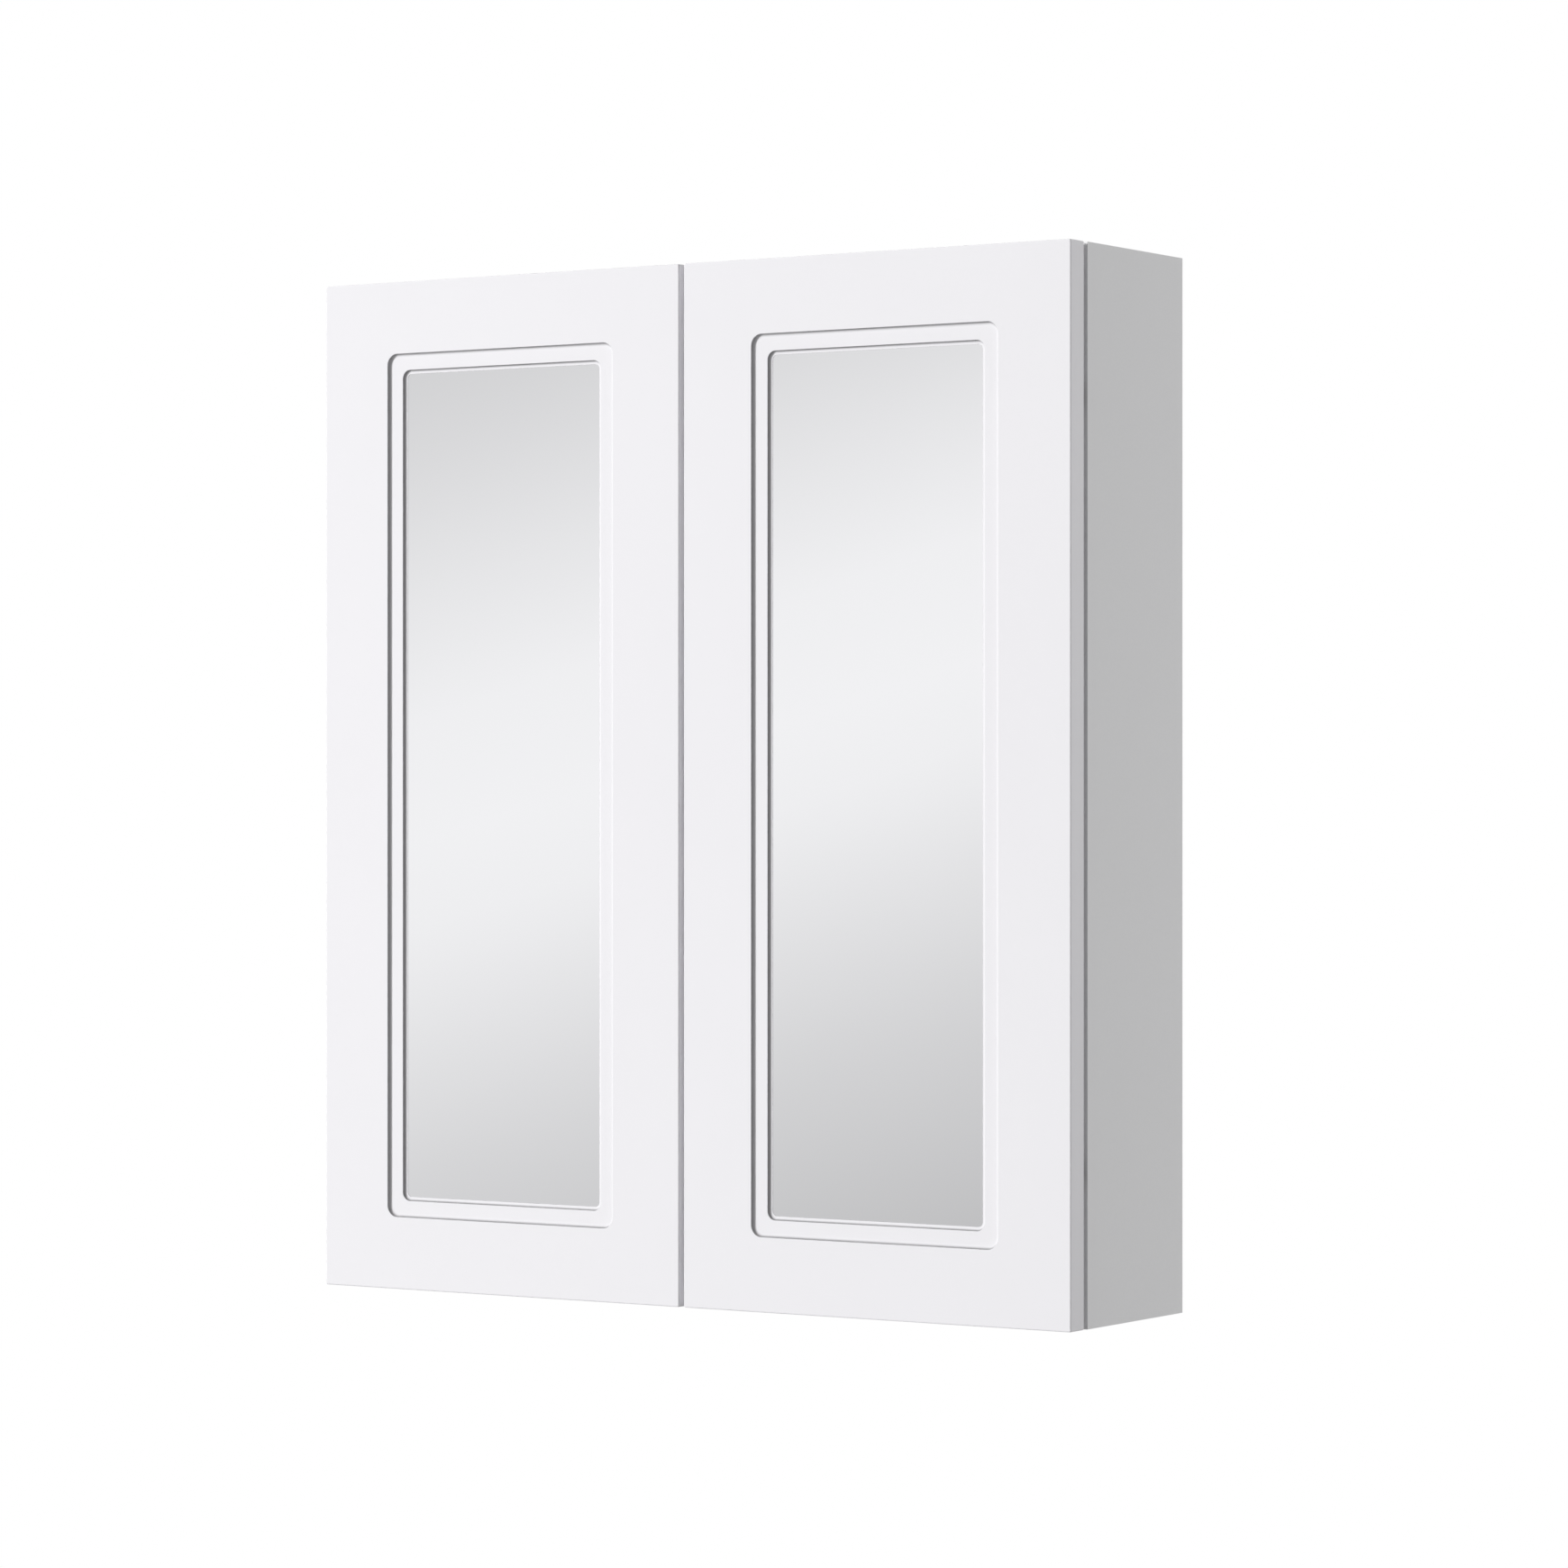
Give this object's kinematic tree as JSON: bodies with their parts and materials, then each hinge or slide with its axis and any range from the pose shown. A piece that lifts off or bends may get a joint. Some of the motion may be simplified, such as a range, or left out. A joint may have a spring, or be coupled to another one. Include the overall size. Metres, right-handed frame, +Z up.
{
  "type": "mirror cabinet",
  "caption": "Wall-hung bathroom mirror cabinet: white board carcass, framed mirror doors on cup hinges, push-to-open latches, glass shelves on pins.",
  "frame": {"origin": "middle of the cabinet's back, on the wall plane, which is the centre of the four wall holes", "axes": "+Z up, +Y into the wall, +X to the right as seen by someone facing the doors"},
  "size_m": [0.6, 0.15, 0.7],
  "materials": {
    "melamine": "white melamine-faced particleboard, faint satin",
    "raw_particleboard": "white melamine-faced particleboard rail",
    "back_board": "white-faced thin fibreboard",
    "edge_plastic": "white edging strip",
    "beech": "fluted beech dowel",
    "zinc_steel": "zinc-plated steel",
    "zinc_casting": "zinc die casting",
    "white_plastic": "moulded white plastic",
    "grey_plastic": "moulded grey plastic",
    "nickel_steel": "nickel-plated pressed steel",
    "clear_rubber": "clear soft plastic",
    "spring_steel": "spring steel wire",
    "magnet": "nickel-plated magnet",
    "vinyl_wrap": "satin white vinyl wrap on fibreboard",
    "mirror": "silvered float glass",
    "backing_board": "white-faced fibreboard",
    "clear_glass": "clear toughened glass, polished edges"
  },
  "bodies": {
    "carcass": {"side_panel_left": "melamine", "side_panel_right": "melamine", "top_panel": "melamine", "bottom_panel": "melamine", "back_panel": "back_board", "hanging_rail_top": "raw_particleboard", "hanging_rail_bottom": "raw_particleboard", "edge_strips": "edge_plastic", "dowels": "beech", "cam_bolts": "zinc_steel", "cam_locks": "zinc_casting", "cam_covers": "white_plastic", "shelf_pins": "nickel_steel", "shelf_pads": "clear_rubber", "hinge_arms": "nickel_steel", "hinge_plates": "nickel_steel", "arm_screws": "zinc_steel", "plate_screws": "zinc_steel", "latch_body_left": "white_plastic", "latch_body_right": "white_plastic", "latch_springs": "spring_steel", "latch_screws": "zinc_steel"},
    "door_left": {"door_frame_left": "vinyl_wrap", "mirror_pane_left": "mirror", "mirror_backing_left": "backing_board", "mirror_clips_left": "white_plastic", "clip_screws_left": "zinc_steel", "door_buffers_left": "clear_rubber", "strike_plate_left": "nickel_steel", "strike_screws_left": "zinc_steel", "hinge_cups_left": "nickel_steel", "hinge_pins_left": "zinc_steel", "cup_screws_left": "zinc_steel"},
    "door_right": {"door_frame_right": "vinyl_wrap", "mirror_pane_right": "mirror", "mirror_backing_right": "backing_board", "mirror_clips_right": "white_plastic", "clip_screws_right": "zinc_steel", "door_buffers_right": "clear_rubber", "strike_plate_right": "nickel_steel", "strike_screws_right": "zinc_steel", "hinge_cups_right": "nickel_steel", "hinge_pins_right": "zinc_steel", "cup_screws_right": "zinc_steel"},
    "plunger_left": {"latch_plunger_left": "grey_plastic", "latch_magnet_left": "magnet"},
    "plunger_right": {"latch_plunger_right": "grey_plastic", "latch_magnet_right": "magnet"},
    "shelf_lower": {"glass_shelf_1": "clear_glass"},
    "shelf_upper": {"glass_shelf_2": "clear_glass"}
  },
  "joints": [
    {"name": "door_left_swing", "type": "hinge", "parent": "carcass", "child": "door_left", "pos_m": [-0.2925, -0.1375, 0], "axis": [0, 0, -1], "range_deg": [0, 100]},
    {"name": "door_right_swing", "type": "hinge", "parent": "carcass", "child": "door_right", "pos_m": [0.2925, -0.1375, 0], "axis": [0, 0, 1], "range_deg": [0, 100]},
    {"name": "latch_press_left", "type": "slide", "parent": "carcass", "child": "plunger_left", "axis": [0, 1, 0], "range_m": [0, 0.003], "stiffness_N_per_m": 800, "springref_m": -0.002},
    {"name": "latch_press_right", "type": "slide", "parent": "carcass", "child": "plunger_right", "axis": [0, 1, 0], "range_m": [0, 0.003], "stiffness_N_per_m": 800, "springref_m": -0.002},
    {"name": "shelf_lower_lift", "type": "slide", "parent": "carcass", "child": "shelf_lower", "axis": [0, 0, 1], "range_m": [0, 0.01]},
    {"name": "shelf_upper_lift", "type": "slide", "parent": "carcass", "child": "shelf_upper", "axis": [0, 0, 1], "range_m": [0, 0.01]}
  ]
}
